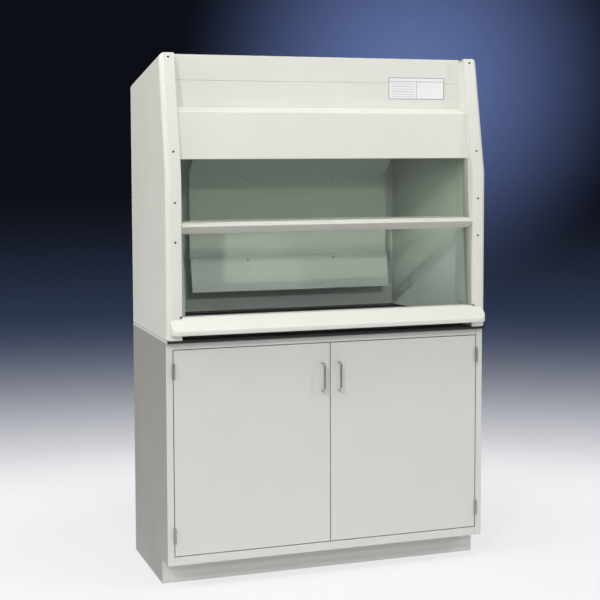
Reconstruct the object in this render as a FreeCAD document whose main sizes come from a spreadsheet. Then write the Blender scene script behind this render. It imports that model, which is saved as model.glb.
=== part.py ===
import FreeCAD, Part
import os
import re
import Sketcher

# A compact fume hood on a two-door base cabinet, in millimetres.
# +X is to the right of someone facing it, the front looks along -Y and +Z is up.
# The origin is on the floor, under the middle of the part's box.

# Driving dimensions
SIZES = {
    "hood_width": 1219.2,
    "cabinet_depth": 559.0,
    "cabinet_height": 884.0,
    "hood_height": 1899.0,
    "rear_drop": 90.0,
    "bend_drop": 423.0,
    "top_setback": 88.0,
    "post_reach": 25.0,
    "post_width": 54.0,
    "post_radius": 20.0,
    "shell_wall": 4.0,
    "shell_fit": 0.5,
    "liner_sheet": 4.0,
    "roof_drop": 99.0,
    "worktop_thickness": 10.0,
    "worktop_reach": 25.0,
    "deck_rise": 32.0,
    "deck_setback": 55.0,
    "deck_play": 1.0,
    "dish_depth": 4.0,
    "dish_rim": 75.0,
    "dish_side": 20.0,
    "chamber_flange": 12.0,
    "chamber_narrowing": 88.0,
    "sill_rise": 84.0,
    "sash_setback": 13.0,
    "sash_lean": 4.5,
    "glass_sheet": 5.0,
    "glass_play": 0.5,
    "pane_pitch": 11.0,
    "track_width": 12.0,
    "track_web": 4.0,
    "track_lip": 5.5,
    "track_lap": 135.0,
    "window_lap": 44.0,
    "trim_height": 6.0,
    "trim_sheet": 2.0,
    "sash_lift": 13.0,
    "sash_rest": 8.0,
    "sash_lap": 79.0,
    "handle_height": 39.0,
    "handle_reach": 42.0,
    "handle_slope": 11.0,
    "handle_nose": 5.0,
    "handle_round": 2.0,
    "handle_wall": 6.0,
    "handle_end_gap": 1.5,
    "handle_clear": 2.5,
    "stop_gap": 0.5,
    "header_face": 165.0,
    "header_sheet": 3.0,
    "ledge_depth": 70.0,
    "ledge_rise": 26.0,
    "fascia_height": 187.0,
    "seam_drop": 94.0,
    "seam_gap": 0.6,
    "fascia_drop": 3.0,
    "fascia_flange": 40.0,
    "airfoil_reach": 65.0,
    "airfoil_gap": 20.0,
    "airfoil_end": 10.0,
    "airfoil_nose": 16.0,
    "airfoil_radius": 6.5,
    "airfoil_corner": 25.0,
    "airfoil_step": 10.0,
    "airfoil_flange": 32.0,
    "airfoil_sheet": 6.0,
    "plenum_depth": 70.0,
    "baffle_sheet": 4.0,
    "baffle_side_gap": 78.0,
    "baffle_rise": 116.0,
    "baffle_bend_rise": 225.0,
    "baffle_strip": 22.0,
    "baffle_kick": 25.0,
    "baffle_slot": 12.0,
    "baffle_lap": 2.0,
    "baffle_fold_drop": 332.0,
    "baffle_top_gap": 150.0,
    "baffle_top_kick": 230.0,
    "standoff_radius": 7.0,
    "standoff_inset": 227.0,
    "collar_radius": 101.6,
    "collar_sheet": 2.0,
    "collar_height": 88.0,
    "collar_flange": 22.0,
    "collar_from_rear": 190.0,
    "screw_radius": 3.5,
    "screw_head": 2.5,
    "screw_inset": 22.0,
    "screw_foot_inset": 5.0,
    "cable_radius": 1.5,
    "cable_inset": 24.5,
    "cable_play": 0.1,
    "clip_height": 12.0,
    "clip_grip": 30.0,
    "clip_reach": 6.0,
    "slot_play": 8.0,
    "pulley_rise": 78.0,
    "pulley_radius": 22.0,
    "pulley_rim": 6.0,
    "pulley_width": 14.0,
    "axle_radius": 4.0,
    "axle_play": 0.05,
    "bracket_size": 60.0,
    "bracket_sheet": 3.0,
    "weight_width": 28.0,
    "weight_depth": 50.0,
    "weight_height": 330.0,
    "weight_gap": 65.0,
    "weight_bevel": 3.0,
    "cabinet_sheet": 1.5,
    "cabinet_fit": 0.3,
    "stile_width": 24.0,
    "top_rail_height": 24.0,
    "bottom_rail_height": 30.0,
    "rail_depth": 40.0,
    "toe_height": 88.0,
    "toe_setback": 90.0,
    "toe_depth": 18.0,
    "floor_depth": 22.0,
    "back_rise": 30.0,
    "shelf_height": 500.0,
    "shelf_thickness": 22.0,
    "shelf_setback": 70.0,
    "shelf_rear_gap": 25.0,
    "shelf_side_gap": 2.0,
    "clip_size": 14.0,
    "door_gap": 3.0,
    "door_thickness": 19.0,
    "door_sheet": 1.2,
    "door_fit": 0.3,
    "door_edge": 2.0,
    "pull_spacing": 101.6,
    "pull_radius": 4.0,
    "pull_reach": 30.0,
    "pull_bend": 11.0,
    "pull_inset": 30.0,
    "pull_drop": 124.0,
    "hinge_length": 52.0,
    "hinge_inset": 74.0,
    "barrel_radius": 5.0,
    "barrel_reach": 5.5,
    "barrel_clear": 0.3,
    "knuckle_gap": 0.4,
    "pin_radius": 2.5,
    "pin_play": 0.05,
    "pin_head": 2.0,
    "leaf_sheet": 1.2,
    "leaf_depth": 16.0,
    "catch_width": 44.0,
    "catch_height": 14.0,
    "catch_depth": 13.0,
    "catch_inset": 70.0,
    "catch_gap": 0.4,
    "strike_sheet": 1.2,
    "strike_height": 11.0,
}

# Places and sizes worked out from the driving dimensions
DERIVED = {
    "half_width": "hood_width / 2",
    "face": "(airfoil_reach - cabinet_depth) / 2",
    "rear": "face + cabinet_depth",
    "deck": "cabinet_height + worktop_thickness",
    "rear_height": "hood_height - rear_drop",
    "bend_height": "hood_height - bend_drop",
    "roof_height": "hood_height - roof_drop",
    "seam_height": "hood_height - seam_drop",
    "sill_height": "deck + sill_rise",
    "airfoil_low": "deck + airfoil_gap",
    "baffle_low": "deck + baffle_rise",
    "baffle_bend": "deck + baffle_bend_rise",
    "baffle_fold": "roof_height - baffle_fold_drop",
    "inner_half": "half_width - post_width",
    "post_front": "face - post_reach",
    "post_slope": "top_setback / bend_drop",
    "rim_inset": "shell_wall + shell_fit",
    "sash_line": "face - sash_setback",
    "lean_sine": "sin(sash_lean * 1deg)",
    "lean_cosine": "cos(sash_lean * 1deg)",
    "track_inner": "inner_half - track_width",
    "groove_end": "inner_half - track_web",
    "pane_half": "groove_end - glass_play",
    "ledge_w": "ledge_depth - track_lip - header_sheet",
    "ledge_v": "(hood_height - fascia_height - sill_height + ledge_w * lean_sine) / lean_cosine",
    "header_top": "ledge_v - ledge_rise",
    "header_low": "header_top - header_face",
    "sash_rise": "header_low / 2 + sash_lift",
    "sash_travel": "sash_rise - sash_rest",
    "window_low": "sash_rise + handle_height + stop_gap + trim_sheet",
    "sash_back": "pane_pitch + glass_sheet",
    "sash_foot": "sash_rise + handle_wall",
    "sash_top": "header_low + sash_lap",
    "cable_line": "half_width - cable_inset",
    "cable_w": "pane_pitch + glass_sheet / 2",
    "clip_top": "sash_top + clip_height",
    "pulley_v": "clip_top + pulley_rise",
    "pulley_w": "cable_w + pulley_radius",
    "groove_floor": "pulley_radius - cable_radius - cable_play",
    "weight_drop": "sash_travel + weight_gap",
    "fascia_line": "sash_line + ledge_v * lean_sine + ledge_w * lean_cosine",
    "plenum_front": "rear - shell_wall - plenum_depth",
    "splay_start": "fascia_line + header_sheet + chamber_flange",
    "splay": "chamber_narrowing / (rear - shell_wall - splay_start)",
    "baffle_half": "inner_half - (plenum_front - splay_start) * splay - baffle_side_gap",
    "cabinet_half": "half_width - stile_width",
    "door_low": "toe_height + bottom_rail_height + door_gap",
    "door_top": "cabinet_height - top_rail_height - door_gap",
    "floor_top": "toe_height + bottom_rail_height",
    "door_back": "face + door_thickness",
    "barrel_line": "cabinet_half - door_gap / 2",
    "barrel_front": "face - barrel_reach",
    "leaf_start": "barrel_front + barrel_radius + barrel_clear",
    "knuckle_pitch": "hinge_length / 5",
    "pull_line": "door_gap / 2 + pull_inset",
    "pull_level": "door_top - pull_drop",
}

LEFT, RIGHT = -1, 1
SIDE_NAMES = {LEFT: "left", RIGHT: "right"}

doc = FreeCAD.newDocument("fume_hood")
sheet = doc.addObject("Spreadsheet::Sheet", "sizes")
for row, (alias, number) in enumerate(SIZES.items(), start=1):
    sheet.set(f"A{row}", alias)
    sheet.set(f"B{row}", str(number))
    sheet.setAlias(f"B{row}", alias)
doc.recompute()

DERIVED_NAME = re.compile(r"\b(" + "|".join(DERIVED) + r")\b")
SIZE_NAME = re.compile(r"\b(" + "|".join(SIZES) + r")\b")
nodes = []


def expand(text):
    """Writes the derived names out and points every driving dimension at its cell."""
    text = str(text)
    while DERIVED_NAME.search(text):
        text = DERIVED_NAME.sub(lambda found: "(" + DERIVED[found.group()] + ")", text)
    return SIZE_NAME.sub(lambda found: "sizes." + found.group(), text)


def value(text):
    """The number that an expression has now."""
    result = sheet.evalExpression(expand(text))
    return float(getattr(result, "Value", result))


def tilt_y(v, w):
    """Y of a point at height v up the sash plane and depth w behind it."""
    return f"(sash_line + ({v}) * lean_sine + ({w}) * lean_cosine)"


def tilt_z(v, w):
    """Z of a point at height v up the sash plane and depth w behind it."""
    return f"(sill_height + ({v}) * lean_cosine - ({w}) * lean_sine)"


def place(thing, x="0", y="0", z="0"):
    """Binds where a piece stands."""
    for axis, text in zip("xyz", (x, y, z)):
        thing.setExpression(f"Placement.Base.{axis}", expand(text))
    return thing


def tilt(thing, x="0", v="0", w="0"):
    """Stands a piece that was made upright in the leaning sash plane."""
    thing.Placement.Rotation = FreeCAD.Rotation(FreeCAD.Vector(1, 0, 0), -value("sash_lean"))
    thing.setExpression("Placement.Rotation.Angle", expand("-sash_lean"))
    return place(thing, x, tilt_y(v, w), tilt_z(v, w))


def named(thing, label):
    """Gives a finished sub-part the label that names its file."""
    thing.Label = label
    nodes.append(thing)
    return thing


# Building blocks

def box(length, width, height):
    block = doc.addObject("Part::Box", "block")
    for prop, text in (("Length", length), ("Width", width), ("Height", height)):
        block.setExpression(prop, expand(text))
    return block


def span(x, y, z):
    """A block between two places along each axis."""
    block = box(*(f"({high}) - ({low})" for low, high in (x, y, z)))
    return place(block, x[0], y[0], z[0])


def rod(radius, length, along=None):
    """A round bar from its foot, upright or along another axis."""
    bar = doc.addObject("Part::Cylinder", "rod")
    bar.setExpression("Radius", expand(radius))
    bar.setExpression("Height", expand(length))
    if along:
        bar.Placement.Rotation = FreeCAD.Rotation(FreeCAD.Vector(0, 0, 1), FreeCAD.Vector(*along))
    return bar


def fuse(pieces):
    joined = doc.addObject("Part::MultiFuse", "joined")
    joined.Shapes = pieces
    return joined


def cut(base, tool):
    rest = doc.addObject("Part::Cut", "rest")
    rest.Base = base
    rest.Tool = tool
    return rest


def group(pieces):
    """Like pieces that share a node, each a solid of its own."""
    several = doc.addObject("Part::Compound", "several")
    several.Links = pieces
    return several


def new_body(label):
    return named(doc.addObject("PartDesign::Body", label), label)


def outline(body, plane, corners, offset="0"):
    """A closed sketch with straight sides, each corner bound to the sheet."""
    sketch = body.newObject("Sketcher::SketchObject", "outline")
    base = next(f for f in body.Origin.OriginFeatures if f.Role == plane)
    sketch.AttachmentSupport = [(base, "")]
    sketch.MapMode = "FlatFace"
    sketch.setExpression("AttachmentOffset.Base.z", expand(offset))
    spots = [FreeCAD.Vector(value(a), value(b), 0) for a, b in corners]
    ends = spots[1:] + spots[:1]
    sketch.addGeometry([Part.LineSegment(a, b) for a, b in zip(spots, ends)], False)
    count = len(spots)
    rules = [Sketcher.Constraint("Coincident", n, 2, (n + 1) % count, 1) for n in range(count)]
    texts = []
    for n, corner in enumerate(corners):
        for kind, text in zip(("DistanceX", "DistanceY"), corner):
            rules.append(Sketcher.Constraint(kind, -1, 1, n, 1, value(text)))
            texts.append(text)
    sketch.addConstraint(rules)
    for n, text in enumerate(texts, start=count):
        sketch.setExpression(f"Constraints[{n}]", expand(text))
    return sketch


def ring(body, plane, x, y, radius, offset="0"):
    """A circle sketch bound to the sheet."""
    sketch = body.newObject("Sketcher::SketchObject", "ring")
    base = next(f for f in body.Origin.OriginFeatures if f.Role == plane)
    sketch.AttachmentSupport = [(base, "")]
    sketch.MapMode = "FlatFace"
    sketch.setExpression("AttachmentOffset.Base.z", expand(offset))
    centre = FreeCAD.Vector(value(x), value(y), 0)
    sketch.addGeometry(Part.Circle(centre, FreeCAD.Vector(0, 0, 1), value(radius)), False)
    sketch.addConstraint([
        Sketcher.Constraint("DistanceX", -1, 1, 0, 3, value(x)),
        Sketcher.Constraint("DistanceY", -1, 1, 0, 3, value(y)),
        Sketcher.Constraint("Radius", 0, value(radius)),
    ])
    for n, text in enumerate((x, y, radius)):
        sketch.setExpression(f"Constraints[{n}]", expand(text))
    return sketch


def pad(body, sketch, length, back=False):
    feature = body.newObject("PartDesign::Pad", "pad")
    feature.Profile = sketch
    feature.setExpression("Length", expand(length))
    feature.Reversed = back
    doc.recompute()
    return feature


def pocket(body, sketch, length, back=False):
    """A cut that must take some of the solid away."""
    before = body.Shape.Volume
    feature = body.newObject("PartDesign::Pocket", "pocket")
    feature.Profile = sketch
    feature.setExpression("Length", expand(length))
    feature.Reversed = back
    doc.recompute()
    if body.Shape.Volume >= before:
        raise ValueError(f"the cut in {body.Label} missed the solid")
    return feature


def spin(body, sketch, axis):
    feature = body.newObject("PartDesign::Revolution", "turned")
    feature.Profile = sketch
    line = next(f for f in body.Origin.OriginFeatures if f.Role == axis)
    feature.ReferenceAxis = (line, [""])
    feature.Angle = 360.0
    doc.recompute()
    return feature


def edges_near(feature, spots):
    """Names of the edges that pass through the given places."""
    found = []
    for spot in spots:
        point = Part.Vertex(FreeCAD.Vector(*spot))
        edges = enumerate(feature.Shape.Edges, start=1)
        found.append("Edge%d" % min((edge.distToShape(point)[0], n) for n, edge in edges)[1])
    return found


def fillet(body, feature, spots, radius):
    rounded = body.newObject("PartDesign::Fillet", "rounded")
    rounded.Base = (feature, edges_near(feature, spots))
    rounded.setExpression("Radius", expand(radius))
    doc.recompute()
    return rounded


def shell(body, feature, wall, opening):
    """Hollows a solid to a skin that is open on the side that looks along opening."""
    way = FreeCAD.Vector(*opening)
    faces = enumerate(feature.Shape.Faces, start=1)
    open_faces = [(face.Area, n) for n, face in faces if (face.normalAt(0, 0) - way).Length < 1e-6]
    skin = body.newObject("PartDesign::Thickness", "skin")
    skin.Base = (feature, ["Face%d" % max(open_faces)[1]])
    skin.setExpression("Value", expand(wall))
    skin.Reversed = True
    doc.recompute()
    return skin


def ribbon(points, across, up):
    """The outline of a folded sheet, from the line along one of its sides."""
    other = [(f"({a}) + ({across})", f"({b}) + ({up})") for a, b in points]
    return points + other[::-1]


def rectangle(x, y):
    return [(x[0], y[0]), (x[1], y[0]), (x[1], y[1]), (x[0], y[1])]


def pan(label, plane, x, y, start, depth, wall, opening, back=False):
    """A folded tray: a rectangle drawn out and hollowed from one side."""
    body = new_body(label)
    tray = pad(body, outline(body, plane, rectangle(x, y), start), depth, back)
    shell(body, tray, wall, opening)
    return body


def sheet_body(label, corners, half):
    """A sheet whose side outline runs across the part, from -half to half."""
    body = new_body(label)
    pad(body, outline(body, "YZ_Plane", corners, f"-({half})"), f"2 * ({half})")
    return body


# Hood shell

def end_panel(side):
    """A moulded pan that makes one side of the hood, rounded down its front post and along its top."""
    body = new_body(SIDE_NAMES[side] + "_end_panel")
    corners = [
        ("post_front", "deck"),
        ("post_front", "bend_height"),
        ("post_front + top_setback", "hood_height"),
        ("rear", "rear_height"),
        ("rear", "deck"),
    ]
    block = pad(body, outline(body, "YZ_Plane", corners, f"{side} * half_width"), "post_width", side > 0)
    x = side * value("half_width")
    front = value("post_front")
    low, bend, top = value("deck"), value("bend_height"), value("hood_height")
    top_front, back = front + value("top_setback"), value("rear")
    spots = [(x, front, (low + bend) / 2), (x, (front + top_front) / 2, (bend + top) / 2),
             (x, (top_front + back) / 2, (top + value("rear_height")) / 2)]
    rounded = fillet(body, block, spots, "post_radius")
    shell(body, rounded, "shell_wall", (-side, 0, 0))


def liner(side):
    """The flat inner wall that closes an end panel, slotted for the sash cable's clip."""
    body = new_body(SIDE_NAMES[side] + "_inner_liner")
    top_front = "hood_height - 1.5 * rim_inset"
    corners = [
        ("post_front + rim_inset", "deck + rim_inset"),
        ("post_front + rim_inset", "bend_height"),
        (f"post_front + ({top_front} - bend_height) * post_slope + 1.05 * rim_inset", top_front),
        ("rear - rim_inset", "rear_height - 1.2 * rim_inset"),
        ("rear - rim_inset", "deck + rim_inset"),
    ]
    start = f"{side} * inner_half"
    pad(body, outline(body, "YZ_Plane", corners, start), "liner_sheet", side < 0)
    pocket(body, outline(body, "YZ_Plane", cable_slot(), start), "liner_sheet", side > 0)


def slot_reach():
    """Lowest and highest height of the slot that the cable's clip runs in."""
    return "sash_top - sash_travel - slot_play", "clip_top + slot_play"


def cable_slot():
    low, high = slot_reach()
    front, back = "pane_pitch - glass_play", "sash_back + glass_play"
    ring_round = ((low, front), (high, front), (high, back), (low, back))
    return [(tilt_y(v, w), tilt_z(v, w)) for v, w in ring_round]


def hood_shell():
    for side in (LEFT, RIGHT):
        end_panel(side)
        liner(side)
        chamber_wall(side)
    named(span(("-inner_half", "inner_half"), ("rear - shell_wall", "rear"),
               ("deck", "roof_height + shell_wall")), "rear_panel")
    roof = new_body("roof_panel")
    front = "fascia_line + header_sheet"
    corners = rectangle(("-inner_half", "inner_half"), (front, "rear - shell_wall"))
    pad(roof, outline(roof, "XY_Plane", corners, "roof_height"), "shell_wall")
    bore, centre = "collar_radius - collar_sheet", "rear - collar_from_rear"
    pocket(roof, ring(roof, "XY_Plane", "0", centre, bore, "roof_height"), "shell_wall", True)


def chamber_wall(side):
    """An inner side wall that runs back from the sash track and then in toward the rear baffles."""
    body = new_body(SIDE_NAMES[side] + "_chamber_wall")
    front = "fascia_line + header_sheet"
    line = [
        (f"{side} * inner_half", front),
        (f"{side} * inner_half", "splay_start"),
        (f"{side} * (inner_half - chamber_narrowing)", "rear - shell_wall"),
    ]
    corners = ribbon(line, f"{-side} * liner_sheet", "0")
    pad(body, outline(body, "XY_Plane", corners, "deck"), "roof_height - deck")
    foot = "sash_line + (sash_back + glass_play + track_lip + seam_gap) / lean_cosine"
    corners = [
        (front, "sill_height"),
        (foot, "sill_height"),
        (f"{foot} + header_low * lean_sine", "sill_height + header_low * lean_cosine"),
        (front, "sill_height + header_low * lean_cosine"),
    ]
    pad(body, outline(body, "YZ_Plane", corners, f"{side} * inner_half"), "liner_sheet", side > 0)


def exhaust_collar():
    """A flanged duct collar on the roof."""
    body = new_body("exhaust_collar")
    corners = [
        ("collar_radius - collar_sheet", "0"),
        ("collar_radius + collar_flange", "0"),
        ("collar_radius + collar_flange", "collar_sheet"),
        ("collar_radius", "collar_sheet"),
        ("collar_radius", "collar_height"),
        ("collar_radius - collar_sheet", "collar_height"),
    ]
    spin(body, outline(body, "XZ_Plane", corners), "Z_Axis")
    place(body, "0", "rear - collar_from_rear", "roof_height + shell_wall")


def front_panels():
    """The header over the opening, its sloped ledge and the recessed fascia above."""
    face_w = "-track_lip - header_sheet"
    line = [(face_w, "header_low"), (face_w, "header_top"), ("ledge_w", "ledge_v")]
    tilt(sheet_body("header_panel", ribbon(line, "header_sheet", "-header_sheet / 2"), "inner_half"))
    line = [("fascia_line", "hood_height - fascia_height"), ("fascia_line", "seam_height")]
    sheet_body("fascia_panel", ribbon(line, "header_sheet", "0"), "inner_half")
    top = "hood_height - fascia_drop"
    folded = [
        ("fascia_line", "seam_height + seam_gap"),
        ("fascia_line", top),
        ("fascia_line + fascia_flange", top),
        ("fascia_line + fascia_flange", f"{top} - header_sheet"),
        ("fascia_line + header_sheet", f"{top} - header_sheet"),
        ("fascia_line + header_sheet", "seam_height + seam_gap"),
    ]
    sheet_body("top_fascia", folded, "inner_half")


def airfoil():
    """The rounded sill in front of the opening, held between and before the posts."""
    body = new_body("airfoil_sill")
    step = "sill_height - airfoil_step"
    nose = "face - airfoil_reach"
    corners = [
        ("post_front", "airfoil_low"),
        ("post_front", step),
        (nose, "airfoil_low + airfoil_nose"),
        (nose, "airfoil_low"),
    ]
    half = "(half_width - airfoil_end)"
    front = pad(body, outline(body, "YZ_Plane", corners, f"-{half}"), f"2 * {half}")
    middle = value("airfoil_low + airfoil_nose / 2")
    ends = [(side * value(half), value(nose), middle) for side in (LEFT, RIGHT)]
    cornered = fillet(body, front, ends, "airfoil_corner")
    spots = [(0, value(nose), value(z)) for z in ("airfoil_low + airfoil_nose", "airfoil_low")]
    fillet(body, cornered, spots, "airfoil_radius")
    back = "sash_line + airfoil_flange"
    corners = [
        ("post_front", f"{step} - airfoil_nose"),
        ("post_front", step),
        ("sash_line - track_lip", "sill_height - airfoil_sheet / 2"),
        (back, "sill_height - airfoil_sheet / 2"),
        (back, "sill_height - 1.5 * airfoil_sheet"),
        ("sash_line", "sill_height - 1.5 * airfoil_sheet"),
    ]
    pad(body, outline(body, "YZ_Plane", corners, "-inner_half"), "2 * inner_half")


def deck_outline(half, near, far):
    """A plan that narrows with the chamber walls, from its front line to its rear line."""
    narrow = f"({half} - ({far} - splay_start) * splay)"
    return [(f"-({half})", near), (half, near), (half, "splay_start"), (narrow, far),
            (f"-{narrow}", far), (f"-({half})", "splay_start")]


def work_surface():
    """The black top that the hood stands on, with a raised and dished deck inside the chamber."""
    body = new_body("work_surface")
    front = "face - worktop_reach"
    corners = rectangle(("-half_width", "half_width"), (front, "rear"))
    pad(body, outline(body, "XY_Plane", corners, "cabinet_height"), "worktop_thickness")
    wide = "inner_half - liner_sheet - deck_play"
    near = "face + deck_setback"
    raised = outline(body, "XY_Plane", deck_outline(wide, near, "rear - shell_wall"), "deck")
    pad(body, raised, "deck_rise")
    corners = deck_outline(f"{wide} - dish_side", f"{near} + dish_side", "rear - shell_wall - dish_rim")
    pocket(body, outline(body, "XY_Plane", corners, "deck + deck_rise"), "dish_depth")


def baffles():
    """Two rear baffles, the lower lapped in front of the upper with a slot between, on round standoffs."""
    strip_top = "baffle_bend + baffle_strip"
    front = "plenum_front - baffle_sheet - baffle_slot - baffle_sheet"
    line = [(f"{front} - baffle_kick", "baffle_low"), (front, "baffle_bend"), (front, strip_top)]
    sheet_body("lower_baffle", ribbon(line, "baffle_sheet", "0"), "baffle_half")
    upper_front = "plenum_front - baffle_sheet"
    line = [
        (upper_front, f"{strip_top} - baffle_lap"),
        (upper_front, "baffle_fold"),
        (f"{upper_front} - baffle_top_kick", "roof_height - baffle_top_gap"),
    ]
    sheet_body("upper_baffle", ribbon(line, "baffle_sheet", "0"), "baffle_half")
    levels = (
        (f"{front} + baffle_sheet", "baffle_bend + baffle_strip / 2"),
        ("plenum_front", f"{strip_top} + 4 * standoff_radius"),
        ("plenum_front", "baffle_fold - 4 * standoff_radius"),
    )
    posts = []
    for x in ("standoff_inset - baffle_half", "baffle_half - standoff_inset"):
        for y, z in levels:
            post = rod("standoff_radius", f"rear - shell_wall - ({y})", (0, 1, 0))
            posts.append(place(post, x, y, z))
    named(group(posts), "baffle_standoffs")


def post_screws():
    """Round screw heads down the two front posts."""
    heads = []
    upright = ("(sill_height + bend_height + screw_inset) / 2", "(sill_height + 4 * bend_height) / 5")
    leaning = ("bend_height + 3.5 * screw_inset", "hood_height - 0.7 * screw_inset")
    for side in (LEFT, RIGHT):
        foot = rod("screw_radius", "screw_head", (0, -1, 0))
        low = "sill_height - screw_radius / 2"
        heads.append(place(foot, f"{side} * (inner_half + screw_foot_inset)", "post_front", low))
        x = f"{side} * (inner_half + screw_inset)"
        for z in upright:
            heads.append(place(rod("screw_radius", "screw_head", (0, -1, 0)), x, "post_front", z))
        for z in leaning:
            slope = value("post_slope")
            head = rod("screw_radius", "screw_head", (0, -1, slope))
            heads.append(place(head, x, f"post_front + ({z} - bend_height) * post_slope", z))
    named(group(heads), "post_screws")


# Sash, window and counterbalance

def sash_track(side):
    """A two-groove guide: the front groove holds the window and the rear one the sash."""
    body = new_body(SIDE_NAMES[side] + "_sash_track")
    window_front, window_back = "-glass_play", "glass_sheet + glass_play"
    sash_front, sash_rear = "pane_pitch - glass_play", "sash_back + glass_play"
    inner, floor, outer = (f"{side} * {name}" for name in ("track_inner", "groove_end", "inner_half"))
    corners = [
        (outer, "-track_lip"), (outer, f"{sash_rear} + track_lip"), (inner, f"{sash_rear} + track_lip"),
        (inner, sash_rear), (floor, sash_rear), (floor, sash_front), (inner, sash_front),
        (inner, window_back), (floor, window_back), (floor, window_front), (inner, window_front),
        (inner, "-track_lip"),
    ]
    pad(body, outline(body, "XY_Plane", corners), "header_low + track_lap")
    low, high = slot_reach()
    corners = rectangle((sash_front, sash_rear), (low, high))
    pocket(body, outline(body, "YZ_Plane", corners, outer), "track_web", side < 0)
    tilt(body)


def tilted_span(x, w, v):
    """A block in the leaning sash plane."""
    block = box(*(f"({high}) - ({low})" for low, high in (x, w, v)))
    return tilt(block, x[0], v[0], w[0])


def window():
    """The fixed upper pane and the channel along its lower edge."""
    across = ("-pane_half", "pane_half")
    high = "header_low + window_lap"
    named(tilted_span(across, ("0", "glass_sheet"), ("window_low", high)), "fixed_window")
    body = new_body("window_edge_trim")
    low = "window_low - trim_sheet"
    corners = [
        ("-trim_sheet", low), ("glass_sheet + trim_sheet", low),
        ("glass_sheet + trim_sheet", f"{low} + trim_height"), ("glass_sheet", f"{low} + trim_height"),
        ("glass_sheet", "window_low"), ("0", "window_low"),
        ("0", f"{low} + trim_height"), ("-trim_sheet", f"{low} + trim_height"),
    ]
    half = "(track_inner - handle_clear)"
    pad(body, outline(body, "YZ_Plane", corners, f"-{half}"), f"2 * {half}")
    tilt(body)


def sash():
    """The sliding pane, its full-width handle and the two cable clips on its top edge."""
    across = ("-pane_half", "pane_half")
    named(tilted_span(across, ("pane_pitch", "sash_back"), ("sash_foot", "sash_top")), "sash_glass")
    body = new_body("sash_handle")
    top = "sash_rise + handle_height"
    nose = "-track_lip - handle_reach"
    rear_wall = "sash_back + handle_wall"
    lip_back = "-track_lip - handle_clear"
    nose_top = f"{top} - handle_slope"
    nose_low = f"{nose_top} - handle_nose"
    fall = "(handle_height - handle_slope - handle_nose) / handle_reach"
    lip_low = f"{nose_low} - (handle_reach - handle_clear) * {fall}"
    corners = [
        (lip_back, top), (lip_back, lip_low), ("-track_lip", "sash_rise"), (rear_wall, "sash_rise"),
        (rear_wall, top), ("sash_back", top), ("sash_back", "sash_foot"), ("pane_pitch", "sash_foot"),
        ("pane_pitch", top),
    ]
    half = "(track_inner - handle_clear)"
    pad(body, outline(body, "YZ_Plane", corners, f"-{half}"), f"2 * {half}")
    corners = [(lip_back, top), (nose, nose_top), (nose, nose_low), (lip_back, lip_low)]
    half = "(inner_half - handle_end_gap)"
    wedge = pad(body, outline(body, "YZ_Plane", corners, f"-{half}"), f"2 * {half}")
    fillet(body, wedge, [(0, value(nose), value(z)) for z in (nose_top, nose_low)], "handle_round")
    tilt(body)
    clips = []
    for side in (LEFT, RIGHT):
        reaches = (f"{side} * (cable_line + clip_reach)", f"{side} * (groove_end - clip_grip)")
        ends = sorted(reaches, key=value)
        clips.append(tilted_span(ends, ("pane_pitch", "sash_back"), ("sash_top", "clip_top")))
    named(group(clips), "cable_clips")


def pulley(side):
    """A grooved wheel that carries one sash cable over to its counterweight."""
    body = new_body(SIDE_NAMES[side] + "_pulley")
    edge, half = "pulley_radius + pulley_rim", "pulley_width / 2"
    floor_half = "cable_radius + cable_play"
    bore = "axle_radius + axle_play"
    corners = [
        (f"-({half})", bore), (f"-({half})", edge), (f"-({floor_half} + cable_radius)", edge),
        (f"-({floor_half})", "groove_floor"), (floor_half, "groove_floor"),
        (f"{floor_half} + cable_radius", edge), (half, edge), (half, bore),
    ]
    spin(body, outline(body, "XY_Plane", corners), "X_Axis")
    place(body, f"{side} * cable_line", tilt_y("pulley_v", "pulley_w"), tilt_z("pulley_v", "pulley_w"))


def pulley_bracket(side):
    """A plate on the inner liner with the pulley's axle and its end washer."""
    wall = "(inner_half + liner_sheet)"
    y, z = tilt_y("pulley_v", "pulley_w"), tilt_z("pulley_v", "pulley_w")
    ends = sorted((f"{side} * {wall}", f"{side} * ({wall} + bracket_sheet)"), key=value)
    plate = span(ends, (f"{y} - bracket_size / 2", f"{y} + bracket_size / 2"),
                 (f"{z} - bracket_size / 2", f"{z} + bracket_size / 2"))
    shoulder_end = "cable_line - pulley_width / 2 - cable_play"
    shoulder = rod("2 * axle_radius", f"{shoulder_end} - {wall}", (side, 0, 0))
    place(shoulder, f"{side} * {wall}", y, z)
    axle_end = "cable_line + pulley_width / 2 + bracket_sheet"
    axle = place(rod("axle_radius", f"{axle_end} - {wall}", (side, 0, 0)), f"{side} * {wall}", y, z)
    washer = rod("1.6 * axle_radius", "bracket_sheet - cable_play", (side, 0, 0))
    place(washer, f"{side} * (cable_line + pulley_width / 2 + cable_play)", y, z)
    named(fuse([plate, shoulder, axle, washer]), SIDE_NAMES[side] + "_pulley_bracket")


def weight_top():
    return f"({tilt_z('pulley_v', 'pulley_w')} - weight_drop)"


def counterweight(side):
    """A bevelled steel bar that hangs in the hollow of an end panel."""
    body = new_body(SIDE_NAMES[side] + "_counterweight")
    half, deep = "weight_width / 2", "weight_depth / 2"
    corners = rectangle((f"-{half}", half), (f"-{deep}", deep))
    bar = pad(body, outline(body, "XY_Plane", corners), "weight_height", True)
    bevel = body.newObject("PartDesign::Chamfer", "bevel")
    half_x, half_y, low = value("weight_width") / 2, value("weight_depth") / 2, -value("weight_height")
    spots = [(x, y, z) for z in (0, low) for x, y in ((half_x, 0), (-half_x, 0), (0, half_y), (0, -half_y))]
    bevel.Base = (bar, edges_near(bar, spots))
    bevel.setExpression("Size", expand("weight_bevel"))
    hang = tilt_y("pulley_v", "pulley_w") + " + pulley_radius"
    place(body, f"{side} * cable_line", hang, weight_top())


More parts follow.
